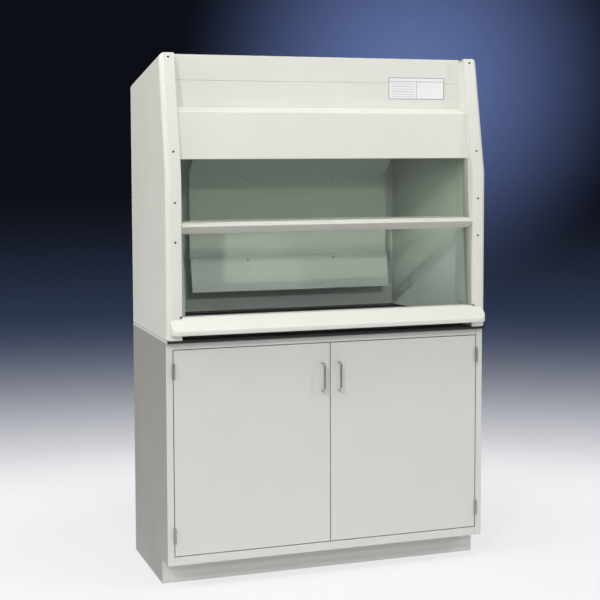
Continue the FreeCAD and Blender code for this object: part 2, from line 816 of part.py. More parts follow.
def cables():
    """Steel cables: a straight run up from each clip, then a run over the pulley to the weight."""
    y, z = tilt_y("pulley_v", "pulley_w"), tilt_z("pulley_v", "pulley_w")
    rising, falling = [], []
    for side in (LEFT, RIGHT):
        x = f"{side} * cable_line"
        rising.append(tilt(rod("cable_radius", "pulley_v - clip_top"), x, "clip_top", "cable_w"))
        wrap = doc.addObject("Part::Torus", "wrap")
        wrap.setExpression("Radius1", expand("pulley_radius"))
        wrap.setExpression("Radius2", expand("cable_radius"))
        wrap.setExpression("Angle3", expand("180 - sash_lean"))
        turned = FreeCAD.Rotation(FreeCAD.Vector(0, 1, 0), FreeCAD.Vector(0, 0, 1), FreeCAD.Vector(1, 0, 0))
        wrap.Placement.Rotation = turned
        place(wrap, x, y, z)
        drop = place(rod("cable_radius", "weight_drop"), x, f"{y} + pulley_radius", weight_top())
        falling.append(fuse([wrap, drop]))
    named(group(rising), "sash_cables")
    named(group(falling), "weight_cables")


# Base cabinet

def cabinet_side(side):
    """A folded pan with the front stile, notched for the toe space, and its flat liner."""
    name = SIDE_NAMES[side]
    body = new_body(f"cabinet_{name}_side")
    toe_line = "face + toe_setback"
    corners = [
        ("face", "toe_height"), ("face", "cabinet_height"), ("rear", "cabinet_height"),
        ("rear", "0"), (toe_line, "0"), (toe_line, "toe_height"),
    ]
    block = pad(body, outline(body, "YZ_Plane", corners, f"{side} * half_width"), "stile_width", side > 0)
    shell(body, block, "cabinet_sheet", (-side, 0, 0))
    inset = "(cabinet_sheet + cabinet_fit)"
    lining = new_body(f"cabinet_{name}_liner")
    front, back, high = f"face + {inset}", f"rear - {inset}", f"cabinet_height - {inset}"
    toe_back, toe_top = f"{toe_line} + {inset}", f"toe_height + {inset}"
    corners = [(front, toe_top), (front, high), (back, high), (back, inset), (toe_back, inset),
               (toe_back, toe_top)]
    start = outline(lining, "YZ_Plane", corners, f"{side} * cabinet_half")
    pad(lining, start, "cabinet_sheet", side < 0)


def cabinet_frame():
    """Rails, floor, toe board, back and shelf between the two cabinet sides."""
    across = ("-cabinet_half", "cabinet_half")
    rail_top = ("cabinet_height - top_rail_height", "cabinet_height")
    front, rear_way, down = "-face", (0, 1, 0), (0, 0, -1)
    pan("top_rail", "XZ_Plane", across, rail_top, front, "rail_depth", "cabinet_sheet", rear_way, True)
    pan("bottom_rail", "XZ_Plane", across, ("toe_height", "floor_top"), front, "rail_depth",
        "cabinet_sheet", rear_way, True)
    pan("toe_kick", "XZ_Plane", across, ("0", "toe_height"), "-(face + toe_setback)", "toe_depth",
        "cabinet_sheet", rear_way, True)
    inside_back = "rear - cabinet_sheet"
    pan("cabinet_floor", "XY_Plane", across, ("face + rail_depth", inside_back), "floor_top - floor_depth",
        "floor_depth", "cabinet_sheet", down)
    pan("rear_top_rail", "XY_Plane", across, (f"{inside_back} - rail_depth", inside_back), rail_top[0],
        "top_rail_height", "cabinet_sheet", down)
    named(span(across, (inside_back, "rear"), ("back_rise", "cabinet_height")), "cabinet_back")
    shelf_half = "(cabinet_half - shelf_side_gap)"
    pan("cabinet_shelf", "XY_Plane", (f"-{shelf_half}", shelf_half),
        ("face + shelf_setback", f"{inside_back} - shelf_rear_gap"), "shelf_height", "shelf_thickness",
        "cabinet_sheet", down)
    clips = []
    for side in (LEFT, RIGHT):
        ends = sorted((f"{side} * cabinet_half", f"{side} * (cabinet_half - clip_size)"), key=value)
        for y in ("face + shelf_setback + clip_size", f"{inside_back} - shelf_rear_gap - 2 * clip_size"):
            low = "shelf_height - clip_size / 2"
            clips.append(span(ends, (y, f"{y} + clip_size"), (low, "shelf_height")))
    named(group(clips), "shelf_clips")


def door_reach(side, inset):
    """Left and right limits of a door, drawn in by an inset."""
    return sorted((f"{side} * (door_gap / 2 + {inset})", f"{side} * (cabinet_half - door_gap - {inset})"),
                  key=value)


def door(side):
    """A double-wall door: a front pan with rounded edges and a back pan nested in it."""
    name = SIDE_NAMES[side]
    body = new_body(f"{name}_door_front")
    x = door_reach(side, "0")
    z = ("door_low", "door_top")
    block = pad(body, outline(body, "XZ_Plane", rectangle(x, z), "-face"), "door_thickness", True)
    middle_x, middle_z = sum(map(value, x)) / 2, sum(map(value, z)) / 2
    spots = [(value(end), value("face"), middle_z) for end in x]
    spots += [(middle_x, value("face"), value(end)) for end in z]
    rounded = fillet(body, block, spots, "door_edge")
    shell(body, rounded, "door_sheet", (0, 1, 0))
    inset = "(door_sheet + door_fit)"
    pan(f"{name}_door_liner", "XZ_Plane", door_reach(side, inset),
        (f"door_low + {inset}", f"door_top - {inset}"), "-(face + 2 * door_sheet)",
        "door_thickness - 2 * door_sheet", "door_sheet", (0, -1, 0), True)
    strike = sorted((f"{side} * catch_inset", f"{side} * (catch_inset + catch_width)"), key=value)
    high = f"door_top - {inset} - strike_sheet"
    named(span(strike, ("door_back", "door_back + strike_sheet"), (f"{high} - strike_height", high)),
          f"{name}_door_strike")


def quarter(x, y, z, turn):
    """One rounded corner of a pull."""
    bend = doc.addObject("Part::Torus", "bend")
    bend.setExpression("Radius1", expand("pull_bend"))
    bend.setExpression("Radius2", expand("pull_radius"))
    bend.Angle3 = 90.0
    bend.Placement.Rotation = FreeCAD.Rotation(*(FreeCAD.Vector(*axis) for axis in turn))
    return place(bend, x, y, z)


def pull(side):
    """A bent wire pull with two feet on the door."""
    x = f"{side} * pull_line"
    bar_y = "face - pull_reach"
    foot_low, foot_high = "pull_level - pull_spacing / 2", "pull_level + pull_spacing / 2"
    pieces = []
    for z in (foot_low, foot_high):
        leg = rod("pull_radius", "pull_reach - pull_bend", (0, -1, 0))
        pieces.append(place(leg, x, "face", z))
    bar = rod("pull_radius", "pull_spacing - 2 * pull_bend")
    pieces.append(place(bar, x, bar_y, f"{foot_low} + pull_bend"))
    centre_y = f"{bar_y} + pull_bend"
    low_turn = ((0, -1, 0), (0, 0, -1), (1, 0, 0))
    high_turn = ((0, 0, 1), (0, -1, 0), (1, 0, 0))
    pieces.append(quarter(x, centre_y, f"{foot_low} + pull_bend", low_turn))
    pieces.append(quarter(x, centre_y, f"{foot_high} - pull_bend", high_turn))
    named(fuse(pieces), SIDE_NAMES[side] + "_door_pull")


def hinge_leaf(side, foot, inward, knuckles):
    """One leaf of a butt hinge: a plate in the door gap with its knuckles on the barrel line."""
    x_line = f"{side} * barrel_line"
    way = -side if inward else side
    reaches = ("door_gap / 2", "door_gap / 2 - leaf_sheet")
    plate_x = sorted((f"{x_line} + {way} * ({reach})" for reach in reaches), key=value)
    back = "face + leaf_depth"
    pieces = [span(plate_x, ("leaf_start", back), (foot, f"{foot} + hinge_length"))]
    for n in knuckles:
        low = f"{foot} + {n} * knuckle_pitch + knuckle_gap / 2"
        high = f"{foot} + {n + 1} * knuckle_pitch - knuckle_gap / 2"
        pieces.append(span(plate_x, ("barrel_front", "leaf_start"), (low, high)))
        knuckle = rod("barrel_radius", "knuckle_pitch - knuckle_gap")
        pieces.append(place(knuckle, x_line, "barrel_front", low))
    bore = place(rod("pin_radius + pin_play", "hinge_length"), x_line, "barrel_front", foot)
    return cut(fuse(pieces), bore)


def hinges(side):
    """Two five-knuckle butt hinges on the outer edge of a door."""
    name = SIDE_NAMES[side]
    feet = ("door_low + hinge_inset - hinge_length / 2", "door_top - hinge_inset - hinge_length / 2")
    named(group([hinge_leaf(side, foot, False, (0, 2, 4)) for foot in feet]), f"{name}_frame_hinge_leaves")
    named(group([hinge_leaf(side, foot, True, (1, 3)) for foot in feet]), f"{name}_door_hinge_leaves")
    pins = []
    for foot in feet:
        x = f"{side} * barrel_line"
        shank = place(rod("pin_radius", "hinge_length"), x, "barrel_front", foot)
        cap = "barrel_radius - barrel_clear"
        caps = [
            place(rod(cap, "pin_head"), x, "barrel_front", f"{foot} + hinge_length"),
            place(rod(cap, "pin_head"), x, "barrel_front", f"{foot} - pin_head"),
        ]
        pins.append(fuse([shank] + caps))
    named(group(pins), f"{name}_hinge_pins")


def door_catches():
    """Magnetic catches under the top rail, one behind each door."""
    blocks = []
    for side in (LEFT, RIGHT):
        x = sorted((f"{side} * catch_inset", f"{side} * (catch_inset + catch_width)"), key=value)
        front = "door_back + strike_sheet + catch_gap"
        high = "cabinet_height - top_rail_height"
        blocks.append(span(x, (front, f"{front} + catch_depth"), (f"{high} - catch_height", high)))
    named(group(blocks), "door_catches")


hood_shell()
exhaust_collar()
front_panels()
airfoil()
work_surface()
baffles()
post_screws()
window()
sash()
cables()
for hand in (LEFT, RIGHT):
    sash_track(hand)
    pulley_bracket(hand)
    pulley(hand)
    counterweight(hand)
    cabinet_side(hand)
    door(hand)
    pull(hand)
    hinges(hand)
cabinet_frame()
door_catches()
doc.recompute()

failed = [thing.Label for thing in doc.Objects if {"Invalid", "Error"} & set(thing.State)]
failed += [node.Label for node in nodes if node.Shape.isNull() or not node.Shape.isValid()]
if failed:
    raise SystemExit("not built: " + ", ".join(failed))

os.makedirs("parts", exist_ok=True)
for node in nodes:
    node.Shape.exportStep(f"parts/{node.Label}.step")
print(len(nodes), "sub-parts written")
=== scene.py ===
import math

import bmesh
import bpy
from mathutils import Matrix, Vector


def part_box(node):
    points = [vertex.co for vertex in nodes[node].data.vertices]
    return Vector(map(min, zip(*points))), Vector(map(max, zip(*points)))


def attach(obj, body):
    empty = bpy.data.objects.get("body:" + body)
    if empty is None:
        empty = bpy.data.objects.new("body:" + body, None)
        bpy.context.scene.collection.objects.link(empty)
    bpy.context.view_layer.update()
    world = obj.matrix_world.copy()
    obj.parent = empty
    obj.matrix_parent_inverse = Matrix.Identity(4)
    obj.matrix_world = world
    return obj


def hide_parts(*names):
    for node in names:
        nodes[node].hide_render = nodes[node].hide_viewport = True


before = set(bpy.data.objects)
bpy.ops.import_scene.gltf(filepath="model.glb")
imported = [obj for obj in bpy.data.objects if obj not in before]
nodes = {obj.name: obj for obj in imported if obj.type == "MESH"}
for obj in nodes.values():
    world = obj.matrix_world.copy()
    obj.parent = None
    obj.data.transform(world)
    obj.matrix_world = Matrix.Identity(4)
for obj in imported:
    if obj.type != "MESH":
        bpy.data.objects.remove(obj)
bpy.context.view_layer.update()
scene = bpy.context.scene
MM = 0.001

# Places on the hood, in metres
INNER_HALF = 0.5556
POST_FRONT = -0.272
REAR = 0.312
WORK_LEVEL = 0.926
WORK_FRONT = -0.192
CHAMBER_FLANGE = 0.012
SPLAY_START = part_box("roof_panel")[0].y + CHAMBER_FLANGE
SILL = 0.978
BEND = 1.476
TOP = 1.899
POST_SETBACK = 0.088
POST_SLOPE = POST_SETBACK / (TOP - BEND)
FASCIA_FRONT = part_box("fascia_panel")[0].y
HEADER_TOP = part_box("header_panel")[1].z
SASH_FOOT = -0.260
SASH_LEAN = math.radians(4.5)
LOWER_BAFFLE_FRONT, UPPER_BAFFLE_FRONT = 0.218, 0.234
BAFFLE_SCREW_X = 0.1768
LOWER_BAFFLE_SCREW, UPPER_BAFFLE_SCREW = 1.130, 1.440
CABINET_HALF = 0.5856

# The backdrop, by the way that a ray goes: the middle of its glow and how far the glow spreads
GLOW_WAY, GLOW_SPREAD = (0.383, 0.9228, 0.043), 0.166
# Where the drape goes over into the plain room behind the camera
ROOM_TURN = (0.2, -0.4)
# Where the white foot goes over into haze, and the haze into the drape
HAZE_RISE = (-0.263, -0.114)
DRAPE_RISE = (-0.246, -0.028)


# Small tools

def linear(colour):
    """Turns an sRGB hex colour into linear red, green, blue and alpha."""
    parts = [int(colour[n:n + 2], 16) / 255 for n in (0, 2, 4)]
    return [p / 12.92 if p <= 0.04045 else ((p + 0.055) / 1.055) ** 2.4 for p in parts] + [1.0]


def add(tree, kind, inputs=None, **settings):
    """Adds a node with its settings; an input is a plain value or another node's output."""
    node = tree.nodes.new(kind)
    for name, setting in settings.items():
        setattr(node, name, setting)
    for name, given in (inputs or {}).items():
        if isinstance(given, bpy.types.NodeSocket):
            tree.links.new(given, node.inputs[name])
        else:
            node.inputs[name].default_value = given
    return node


def new_piece(name, mesh):
    piece = bpy.data.objects.new(name, mesh)
    scene.collection.objects.link(piece)
    return piece


def mesh_from(bm, name):
    mesh = bpy.data.meshes.new(name)
    bm.to_mesh(mesh)
    bm.free()
    return mesh


def plain_mesh(piece):
    """The piece's mesh with its modifiers applied."""
    bpy.context.view_layer.update()
    shown = piece.evaluated_get(bpy.context.evaluated_depsgraph_get())
    return bpy.data.meshes.new_from_object(shown)


def paint(piece, material):
    piece.data.materials.clear()
    piece.data.materials.append(material)


# Materials

def start(name):
    material = bpy.data.materials.new(name)
    material.use_nodes = True
    tree = material.node_tree
    tree.nodes.clear()
    return material, tree


def close(tree, shader):
    add(tree, "ShaderNodeOutputMaterial", {"Surface": shader})


def coating(name, colour, shade, mottle_mm, peel_mm, peel_depth_mm, roughness, spread, edge_mm,
            **sockets):
    """A moulded or painted skin: slow colour drift, orange peel, uneven gloss, and edges lightened towards
    near white as a painted highlight.
    """
    material, tree = start(name)
    place = add(tree, "ShaderNodeTexCoord").outputs["Object"]
    drift = add(tree, "ShaderNodeTexNoise", {"Vector": place, "Scale": 1000 / mottle_mm, "Detail": 4.0})
    tone = add(tree, "ShaderNodeMix", {0: drift.outputs["Fac"], 6: linear(colour),
                                       7: linear(shade)}, data_type="RGBA")
    soft = add(tree, "ShaderNodeBevel", {"Radius": edge_mm * MM}, samples=4)
    true = add(tree, "ShaderNodeNewGeometry").outputs["Normal"]
    along = add(tree, "ShaderNodeVectorMath", {0: soft.outputs["Normal"], 1: true}, operation="DOT_PRODUCT")
    # Edges are mixed towards near white by up to 12 %: a painted highlight along every edge
    edge = add(tree, "ShaderNodeMapRange", {"Value": along.outputs["Value"], "From Min": 0.99,
                                            "From Max": 0.75, "To Min": 0.0, "To Max": 0.12})
    edge_painted_highlight = add(tree, "ShaderNodeMix", {0: edge.outputs["Result"], 6: tone.outputs[2],
                                       7: linear("F4F4F0")}, data_type="RGBA")
    peel = add(tree, "ShaderNodeTexNoise", {"Vector": place, "Scale": 1000 / peel_mm, "Detail": 2.0})
    relief = add(tree, "ShaderNodeBump", {"Height": peel.outputs["Fac"], "Strength": 0.35,
                                          "Distance": peel_depth_mm * MM, "Normal": soft.outputs["Normal"]})
    gloss = add(tree, "ShaderNodeMapRange", {"Value": drift.outputs["Fac"], "From Min": 0.3, "From Max": 0.7,
                                             "To Min": roughness - spread, "To Max": roughness + spread})
    shader = add(tree, "ShaderNodeBsdfPrincipled", {
        "Base Color": edge_painted_highlight.outputs[2], "Roughness": gloss.outputs["Result"],
        "Normal": relief.outputs["Normal"], **sockets})
    close(tree, shader.outputs["BSDF"])
    return material


def metal(name, colour, shade, streak_mm, stretch, roughness, spread, depth_mm=0.02):
    """A bare or plated metal with fine lines drawn out along one direction."""
    material, tree = start(name)
    place = add(tree, "ShaderNodeTexCoord").outputs["Object"]
    drawn = add(tree, "ShaderNodeMapping", {"Vector": place, "Scale": stretch})
    lines = add(tree, "ShaderNodeTexNoise", {"Vector": drawn.outputs["Vector"], "Scale": 1000 / streak_mm,
                                             "Detail": 3.0})
    tone = add(tree, "ShaderNodeMix", {0: lines.outputs["Fac"], 6: linear(colour),
                                       7: linear(shade)}, data_type="RGBA")
    gloss = add(tree, "ShaderNodeMapRange", {"Value": lines.outputs["Fac"], "From Min": 0.25,
                                             "From Max": 0.75, "To Min": roughness - spread,
                                             "To Max": roughness + spread})
    relief = add(tree, "ShaderNodeBump", {"Height": lines.outputs["Fac"], "Strength": 0.3,
                                          "Distance": depth_mm * MM})
    shader = add(tree, "ShaderNodeBsdfPrincipled", {
        "Base Color": tone.outputs[2], "Metallic": 1.0, "Roughness": gloss.outputs["Result"],
        "Normal": relief.outputs["Normal"]})
    close(tree, shader.outputs["BSDF"])
    return material


def pane_glass():
    """Float glass: nearly clear, faintly wiped, and open to light from the lamps."""
    material, tree = start("float_glass")
    place = add(tree, "ShaderNodeTexCoord").outputs["Object"]
    wipes = add(tree, "ShaderNodeTexNoise", {"Vector": place, "Scale": 1000 / 90, "Detail": 5.0})
    film = add(tree, "ShaderNodeMapRange", {"Value": wipes.outputs["Fac"], "From Min": 0.35, "From Max": 0.75,
                                            "To Min": 0.0, "To Max": 0.03})
    body = add(tree, "ShaderNodeBsdfPrincipled", {
        "Base Color": linear("F4F6F0"), "Roughness": film.outputs["Result"], "IOR": 1.52,
        "Transmission Weight": 1.0})
    clear = add(tree, "ShaderNodeBsdfTransparent", {"Color": linear("F9FAF7")})
    path = add(tree, "ShaderNodeLightPath")
    both = add(tree, "ShaderNodeMixShader", {0: path.outputs["Is Shadow Ray"], 1: body.outputs["BSDF"],
                                             2: clear.outputs["BSDF"]})
    close(tree, both.outputs["Shader"])
    return material


def worktop_resin():
    """Cast epoxy resin: matt black with a fine pale fleck."""
    material, tree = start("cast_epoxy_resin")
    place = add(tree, "ShaderNodeTexCoord").outputs["Object"]
    grains = add(tree, "ShaderNodeTexVoronoi", {"Vector": place, "Scale": 1000 / 6})
    fleck = add(tree, "ShaderNodeMapRange", {"Value": grains.outputs["Distance"], "From Min": 0.16,
                                             "From Max": 0.08, "To Min": 0.0, "To Max": 0.35})
    tone = add(tree, "ShaderNodeMix", {0: fleck.outputs["Result"], 6: linear("1B1C1B"),
                                       7: linear("5C5D59")}, data_type="RGBA")
    haze = add(tree, "ShaderNodeTexNoise", {"Vector": place, "Scale": 1000 / 70, "Detail": 4.0})
    gloss = add(tree, "ShaderNodeMapRange", {"Value": haze.outputs["Fac"], "To Min": 0.34, "To Max": 0.5})
    shader = add(tree, "ShaderNodeBsdfPrincipled", {
        "Base Color": tone.outputs[2], "Roughness": gloss.outputs["Result"], "IOR": 1.55})
    close(tree, shader.outputs["BSDF"])
    return material


# White gel coat over glass fibre: smooth, a little glossy, slightly uneven from the mould
GEL_COAT = coating("gel_coated_composite", "E2E2DB", "DBDBD3", 160, 7, 0.05, 0.42, 0.05, 1.6, IOR=1.5)
# Chamber lining of the same resin, left duller and with a faint green cast
LINING = coating("fibre_resin_lining", "CAD5CD", "C2CDC5", 90, 5, 0.06, 0.46, 0.05, 1.0, IOR=1.5)
# Powder-coated sheet steel: light grey with a fine even peel
PAINT = coating("powder_coated_steel", "DAD8D4", "D4D3CE", 220, 3, 0.05, 0.42, 0.04, 0.9, IOR=1.5)
# A darker, warmer copy of the door paint for the cabinet's outward side faces: painted shade for sides that
# get less light
SIDE_SHADE_PAINT = coating("powder_coat_painted_side_shade", "A29F99", "9B9891", 220, 3, 0.05, 0.48, 0.04, 0.9, IOR=1.5)
# Extruded vinyl of the sash tracks, dull and close in colour to the lining
VINYL = coating("extruded_vinyl", "9CA398", "939A8F", 50, 3, 0.03, 0.5, 0.04, 0.5, IOR=1.53)
# Moulded nylon of the pulleys: near black, with a soft sheen
NYLON = coating("moulded_nylon", "3B3C3B", "2F302F", 30, 2, 0.03, 0.45, 0.05, 0.4, IOR=1.53)
# Moulded ABS of the catches and standoffs: an even, slightly glossy white
WHITE_PLASTIC = coating("moulded_abs", "DCDCD6", "D2D2CB", 40, 2, 0.03, 0.4, 0.05, 0.5, IOR=1.53)
# Silicone drawn along the joints by hand: pale, smooth and a little lumpy
SEALANT = coating("silicone_sealant", "DADBD4", "CDCEC6", 25, 6, 0.15, 0.38, 0.05, 0.6, IOR=1.43)
# Coated card: flat, bright and cooler than the hood
CARD = coating("printed_card", "ECEDEE", "E6E7E8", 60, 1.2, 0.01, 0.5, 0.04, 0.2, IOR=1.45)
# Dry ink on the card: mid grey and dull
CARD_INK = coating("grey_ink", "8E9398", "868B90", 20, 1.2, 0.01, 0.5, 0.04, 0.2, IOR=1.45)
# Floated flat and wiped clean: clear, with a faint film that blurs what it mirrors
GLASS = pane_glass()
# Cast and left matt: a black that shows its fleck only near by
RESIN = worktop_resin()
# Drawn wire with a satin chrome plate, streaked along its length
CHROME = metal("satin_chrome", "C6C7C6", "B2B4B4", 1.2, (1, 1, 0.15), 0.14, 0.05)
# Nickel plate on the hinges, dulled, with upright streaks of a slightly darker tone
NICKEL = metal("dull_nickel_plate", "BDBAB1", "A19E96", 1.0, (1, 1, 0.3), 0.34, 0.06)
# Brushed stainless steel of the small fittings: grey, with fine upright lines
STAINLESS = metal("brushed_stainless_steel", "B4B5B2", "9C9D9A", 1.0, (1, 1, 0.1), 0.32, 0.07)
# Hot-dipped zinc: cool grey in broad, cloudy patches
GALVANISED = metal("galvanised_steel", "B7BABC", "9EA2A5", 22, (1, 1, 1), 0.42, 0.08)
# Blackened screws: nearly black, with a dull glint
BLACK_OXIDE = metal("black_oxide_steel", "3A3935", "2B2A27", 0.8, (1, 1, 1), 0.45, 0.08)

FINISHES = {
    GEL_COAT: ["left_end_panel", "right_end_panel", "header_panel", "fascia_panel", "top_fascia",
               "airfoil_sill", "sash_handle"],
    LINING: ["left_inner_liner", "right_inner_liner", "left_chamber_wall", "right_chamber_wall", "rear_panel",
             "roof_panel", "upper_baffle", "lower_baffle"],
    RESIN: ["work_surface"],
    GLASS: ["fixed_window", "sash_glass"],
    VINYL: ["left_sash_track", "right_sash_track", "window_edge_trim"],
    GALVANISED: ["exhaust_collar", "left_counterweight", "right_counterweight", "left_pulley_bracket",
                 "right_pulley_bracket"],
    CHROME: ["left_door_pull", "right_door_pull"],
    NICKEL: ["left_frame_hinge_leaves", "right_frame_hinge_leaves", "left_door_hinge_leaves",
             "right_door_hinge_leaves", "left_hinge_pins", "right_hinge_pins"],
    STAINLESS: ["cable_clips", "sash_cables", "weight_cables", "left_door_strike", "right_door_strike",
                "shelf_clips"],
    NYLON: ["left_pulley", "right_pulley"],
    WHITE_PLASTIC: ["baffle_standoffs", "door_catches"],
    BLACK_OXIDE: ["post_screws"],
}
for material, members in FINISHES.items():
    for node in members:
        paint(nodes[node], material)
for node, piece in nodes.items():
    if not any(node in members for members in FINISHES.values()):
        paint(piece, PAINT)


# CAD pieces with their edges broken, as a press brake or a mould leaves them

def softened(node, width_mm, body="hood", segments=3):
    """A copy of a CAD node with small rounded edges and smooth curves, in the node's place."""
    source = nodes[node]
    bm = bmesh.new()
    bm.from_mesh(source.data)
    bmesh.ops.remove_doubles(bm, verts=bm.verts, dist=1e-5)
    bmesh.ops.dissolve_limit(bm, angle_limit=math.radians(0.5), verts=bm.verts, edges=bm.edges)
    piece = new_piece("edged_" + node, mesh_from(bm, "edged_" + node))
    bevel = piece.modifiers.new("broken_edges", "BEVEL")
    bevel.width = width_mm * MM
    bevel.segments = segments
    bevel.limit_method = "ANGLE"
    bevel.angle_limit = math.radians(40)
    level = piece.modifiers.new("even_shading", "WEIGHTED_NORMAL")
    level.keep_sharp = True
    for face in piece.data.polygons:
        face.use_smooth = True
    piece.data.set_sharp_from_angle(angle=math.radians(50))
    piece.data = plain_mesh(piece)
    piece.modifiers.clear()
    paint(piece, source.data.materials[0])
    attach(piece, body)
    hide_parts(node)
    return piece


for node in ("left_end_panel", "right_end_panel"):
    softened(node, 1.2)
for node in ("header_panel", "fascia_panel", "top_fascia", "airfoil_sill"):
    softened(node, 1.0)
softened("sash_handle", 0.8, "sash")
# The two ends of the work surface carry the hood's white coat
SIDEWAYS, WORKTOP_END = 0.9, 0.6
worktop = softened("work_surface", 1.5)
worktop.data.materials.append(GEL_COAT)
for face in worktop.data.polygons:
    face.material_index = 1 if abs(face.normal.x) > SIDEWAYS and abs(face.center.x) > WORKTOP_END else 0
for node in ("top_rail", "bottom_rail", "toe_kick", "cabinet_shelf", "upper_baffle", "lower_baffle"):
    softened(node, 0.6, segments=2)
for node in ("cabinet_left_side", "cabinet_right_side"):
    piece = softened(node, 0.6, segments=2)
    # Faces turned to the sides take the darker copy of the paint: painted shade
    piece.data.materials.append(SIDE_SHADE_PAINT)
    for face in piece.data.polygons:
        face.material_index = 1 if abs(face.normal.x) > SIDEWAYS else 0
for node in ("exhaust_collar", "baffle_standoffs", "left_pulley_bracket", "right_pulley_bracket"):
    softened(node, 0.3, segments=2)
for side in ("left", "right"):
    softened(f"{side}_door_pull", 0.2, f"{side}_door", segments=1)
    softened(f"{side}_door_front", 0.3, f"{side}_door", segments=1)
    softened(f"{side}_door_hinge_leaves", 0.2, f"{side}_door", segments=1)
    softened(f"{side}_frame_hinge_leaves", 0.2, segments=1)
    softened(f"{side}_hinge_pins", 0.4, segments=2)
    softened(f"{side}_pulley", 0.5, f"{side}_wheel", segments=2)
    softened(f"{side}_counterweight", 0.8, f"{side}_weight", segments=2)


# The inner liners are gel coated where they face the room and dull inside the chamber

LINER_WHITE_DROP = 0.06


def two_faced_liner(node):
    """A copy of a liner, cut along the sash and behind the header so that each side has its own finish."""
    source = nodes[node]
    across = Vector((0, math.cos(SASH_LEAN), -math.sin(SASH_LEAN)))
    foot = Vector((0, SASH_FOOT, SILL))
    white_above = HEADER_TOP - LINER_WHITE_DROP
    bm = bmesh.new()
    bm.from_mesh(source.data)
    bmesh.ops.remove_doubles(bm, verts=bm.verts, dist=1e-5)
    for spot, way in ((foot, across), (Vector((0, 0, white_above)), Vector((0, 0, 1)))):
        bmesh.ops.bisect_plane(bm, geom=bm.verts[:] + bm.edges[:] + bm.faces[:], plane_co=spot, plane_no=way)
    for face in bm.faces:
        middle = face.calc_center_median()
        inside = (middle - foot).dot(across) > 0 and middle.z < white_above
        face.material_index = 1 if inside else 0
    piece = new_piece("faced_" + node, mesh_from(bm, "faced_" + node))
    piece.data.materials.append(GEL_COAT)
    piece.data.materials.append(LINING)
    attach(piece, "hood")
    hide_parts(node)


two_faced_liner("left_inner_liner")
two_faced_liner("right_inner_liner")


# Fasteners

def ring_loft(name, rings):
    """A turned head from rings of points, closed at both ends."""
    bm = bmesh.new()
    loops = [[bm.verts.new(spot) for spot in ring] for ring in rings]
    count = len(rings[0])
    for low, high in zip(loops, loops[1:]):
        for n in range(count):
            m = (n + 1) % count
            bm.faces.new((low[n], low[m], high[m], high[n]))
    bm.faces.new(loops[0][::-1])
    bm.faces.new(loops[-1])
    mesh = mesh_from(bm, name)
    for face in mesh.polygons:
        face.use_smooth = True
    mesh.set_sharp_from_angle(angle=math.radians(35))
    return mesh


def round_ring(radius, height, count=32):
    turns = [2 * math.pi * n / count for n in range(count)]
    return [(radius * math.cos(t), radius * math.sin(t), height) for t in turns]


def cross_ring(reach, half_width, height, count=32):
    """A plus-shaped ring, the rim of a screw's cross recess."""
    spots = []
    for n in range(count):
        t = 2 * math.pi * n / count
        c, s = abs(math.cos(t)), abs(math.sin(t))
        along, across = max(c, s), min(c, s)
        length = min(reach / along, half_width / max(across, 1e-6))
        length = max(length, half_width / along)
        spots.append((length * math.cos(t), length * math.sin(t), height))
    return spots


def screw_head(name, radius, height):
    """A pan head with a cross recess, standing up from the origin."""
    dome = ((1, 0), (1, 0.45), (0.93, 0.75), (0.78, 0.95), (0.64, 1))
    recess = ((0.56, 0.14, 1), (0.5, 0.1, 0.35))
    rings = [round_ring(out * radius, up * height) for out, up in dome]
    rings += [cross_ring(out * radius, half * radius, up * height) for out, half, up in recess]
    return ring_loft(name, rings)


def rivet_head(name, radius, height):
    """A low domed blind rivet with the dimple of its pulled stem."""
    profile = ((1, 0), (0.97, 0.4), (0.8, 0.8), (0.45, 1), (0.3, 1), (0.26, 0.5))
    return ring_loft(name, [round_ring(out * radius, up * height, 20) for out, up in profile])


def fastener_tree():
    """Puts a head on every point, turned to face the way that the point says."""
    tree = bpy.data.node_groups.new("fasteners", "GeometryNodeTree")
    for label, kind in (("Geometry", "NodeSocketGeometry"), ("Head", "NodeSocketObject"),
                        ("Size", "NodeSocketFloat"), ("Finish", "NodeSocketMaterial")):
        tree.interface.new_socket(name=label, in_out="INPUT", socket_type=kind)
    tree.interface.new_socket(name="Geometry", in_out="OUTPUT", socket_type="NodeSocketGeometry")
    given = add(tree, "NodeGroupInput").outputs
    head = add(tree, "GeometryNodeObjectInfo", {"Object": given["Head"]})
    facing = add(tree, "GeometryNodeInputNamedAttribute", {"Name": "facing"}, data_type="FLOAT_VECTOR")
    turn = add(tree, "FunctionNodeAlignRotationToVector", {"Vector": facing.outputs["Attribute"]}, axis="Z")
    many = add(tree, "GeometryNodeInstanceOnPoints", {
        "Points": given["Geometry"], "Instance": head.outputs["Geometry"],
        "Rotation": turn.outputs["Rotation"], "Scale": given["Size"]})
    real = add(tree, "GeometryNodeRealizeInstances", {"Geometry": many.outputs["Instances"]})
    done = add(tree, "GeometryNodeSetMaterial", {"Geometry": real.outputs["Geometry"],
                                                 "Material": given["Finish"]})
    add(tree, "NodeGroupOutput", {"Geometry": done.outputs["Geometry"]})
    return tree


FASTENERS = fastener_tree()


def set_inputs(piece, tree, values):
    """Hangs a tree on a piece and gives its named inputs their values."""
    modifier = piece.modifiers.new(tree.name, "NODES")
    modifier.node_group = tree
    for item in tree.interface.items_tree:
        if item.in_out == "INPUT" and item.name in values:
            modifier[item.identifier] = values[item.name]


def fasteners(name, head_mesh, spots, finish, body="hood"):
    """A set of like heads at the given places; each spot is a point and the way that it faces."""
    mesh = bpy.data.meshes.new(name)
    mesh.from_pydata([spot for spot, way in spots], [], [])
    facing = mesh.attributes.new("facing", "FLOAT_VECTOR", "POINT")
    facing.data.foreach_set("vector", [c for spot, way in spots for c in way])
    piece = new_piece(name, mesh)
    head = new_piece(name + "_head", head_mesh)
    set_inputs(piece, FASTENERS, {"Head": head, "Size": 1.0, "Finish": finish})
    piece.data = plain_mesh(piece)
    piece.modifiers.clear()
    bpy.data.objects.remove(head)
    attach(piece, body)
    return piece


